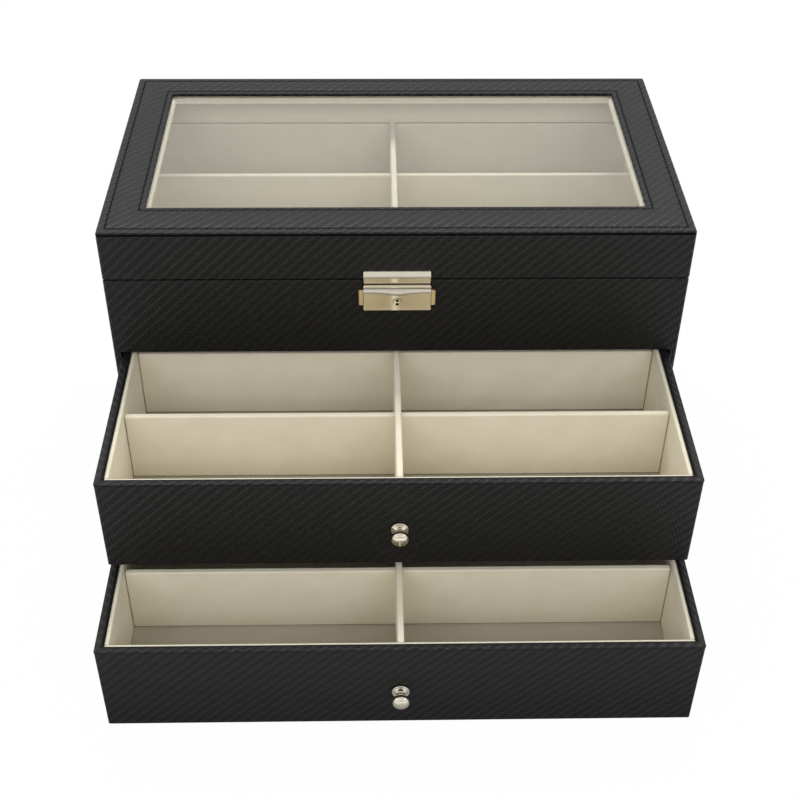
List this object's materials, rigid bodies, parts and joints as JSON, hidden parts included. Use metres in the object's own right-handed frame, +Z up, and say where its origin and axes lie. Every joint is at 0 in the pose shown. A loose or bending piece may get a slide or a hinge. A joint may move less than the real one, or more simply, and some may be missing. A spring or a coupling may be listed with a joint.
{
  "type": "accessory box with drawers",
  "caption": "Leatherette-covered accessory box with a glazed hinged lid over a divided velvet tray, pull-out divided drawers with turned knobs, and a squeeze-tab key lock.",
  "frame": {"origin": "centre of the case's footprint, on the surface that it stands on", "axes": "+X to the viewer's right, -Y towards the viewer and the drawer fronts, +Z up"},
  "size_m": [0.335, 0.3774, 0.2179],
  "materials": {
    "leatherette": "black leatherette embossed with a fine twill weave",
    "fibreboard": "bare medium density fibreboard, hidden by the coverings",
    "velvet": "cream velvet glued over thin board",
    "felt": "black felt",
    "glass": "clear float glass",
    "latch_metal": "pale champagne plating, polished",
    "knob_metal": "pale champagne plating, polished",
    "hinge_metal": "pale champagne plating, satin",
    "steel": "zinc-plated steel"
  },
  "bodies": {
    "case": {"case_wrap": "leatherette", "base_board": "fibreboard", "side_boards": "fibreboard", "back_board": "fibreboard", "drawer_shelf": "fibreboard", "tray_deck": "fibreboard", "fascia_board": "fibreboard", "tray_floor_lining": "velvet", "tray_end_linings": "velvet", "tray_side_linings": "velvet", "tray_centre_divider": "velvet", "tray_cross_dividers": "velvet", "base_felt": "felt", "lock_body": "latch_metal", "hinge_case_leaves": "hinge_metal", "hinge_pins": "hinge_metal", "hinge_case_screws": "steel", "lock_screws": "steel", "left_release_spring": "steel", "right_release_spring": "steel"},
    "lid": {"lid_end_rails": "fibreboard", "lid_side_rails": "fibreboard", "lid_rim_wrap": "leatherette", "lid_top_frame": "fibreboard", "lid_top_cover": "leatherette", "lid_glass": "glass", "lid_inner_frame": "velvet", "lid_end_linings": "velvet", "lid_side_linings": "velvet", "hinge_lid_leaves": "hinge_metal", "hinge_lid_screws": "steel", "hasp": "latch_metal", "hasp_screws": "steel"},
    "upper_drawer": {"upper_drawer_wrap": "leatherette", "upper_drawer_front_board": "fibreboard", "upper_drawer_back_board": "fibreboard", "upper_drawer_side_boards": "fibreboard", "upper_drawer_bottom_board": "fibreboard", "upper_drawer_floor_lining": "velvet", "upper_drawer_end_linings": "velvet", "upper_drawer_side_linings": "velvet", "upper_drawer_centre_divider": "velvet", "upper_drawer_cross_dividers": "velvet", "upper_drawer_knob": "knob_metal", "upper_drawer_knob_screw": "steel"},
    "lower_drawer": {"lower_drawer_wrap": "leatherette", "lower_drawer_front_board": "fibreboard", "lower_drawer_back_board": "fibreboard", "lower_drawer_side_boards": "fibreboard", "lower_drawer_bottom_board": "fibreboard", "lower_drawer_floor_lining": "velvet", "lower_drawer_end_linings": "velvet", "lower_drawer_side_linings": "velvet", "lower_drawer_centre_divider": "velvet", "lower_drawer_cross_dividers": "velvet", "lower_drawer_knob": "knob_metal", "lower_drawer_knob_screw": "steel"},
    "left_tab": {"left_release_tab": "latch_metal"},
    "right_tab": {"right_release_tab": "latch_metal"},
    "key": {"key_cylinder": "latch_metal"}
  },
  "joints": [
    {"name": "lid_hinge", "type": "hinge", "parent": "case", "child": "lid", "pos_m": [0, 0.0972, 0.18575], "axis": [-1, 0, 0], "range_deg": [0, 100]},
    {"name": "upper_drawer_slide", "type": "slide", "parent": "case", "child": "upper_drawer", "axis": [0, -1, 0], "range_m": [-0.1134, 0.0616]},
    {"name": "lower_drawer_slide", "type": "slide", "parent": "case", "child": "lower_drawer", "axis": [0, -1, 0], "range_m": [-0.1708, 0.0042]},
    {"name": "left_tab_press", "type": "slide", "parent": "case", "child": "left_tab", "axis": [1, 0, 0], "range_m": [0, 0.0018], "stiffness_N_per_m": 400, "springref_m": -0.002, "deforming": ["left_release_spring"]},
    {"name": "right_tab_press", "type": "slide", "parent": "case", "child": "right_tab", "axis": [-1, 0, 0], "range_m": [0, 0.0018], "stiffness_N_per_m": 400, "springref_m": -0.002, "deforming": ["right_release_spring"]},
    {"name": "key_turn", "type": "hinge", "parent": "case", "child": "key", "pos_m": [0, -0.099, 0.1754], "axis": [0, 1, 0], "range_deg": [0, 90]}
  ]
}
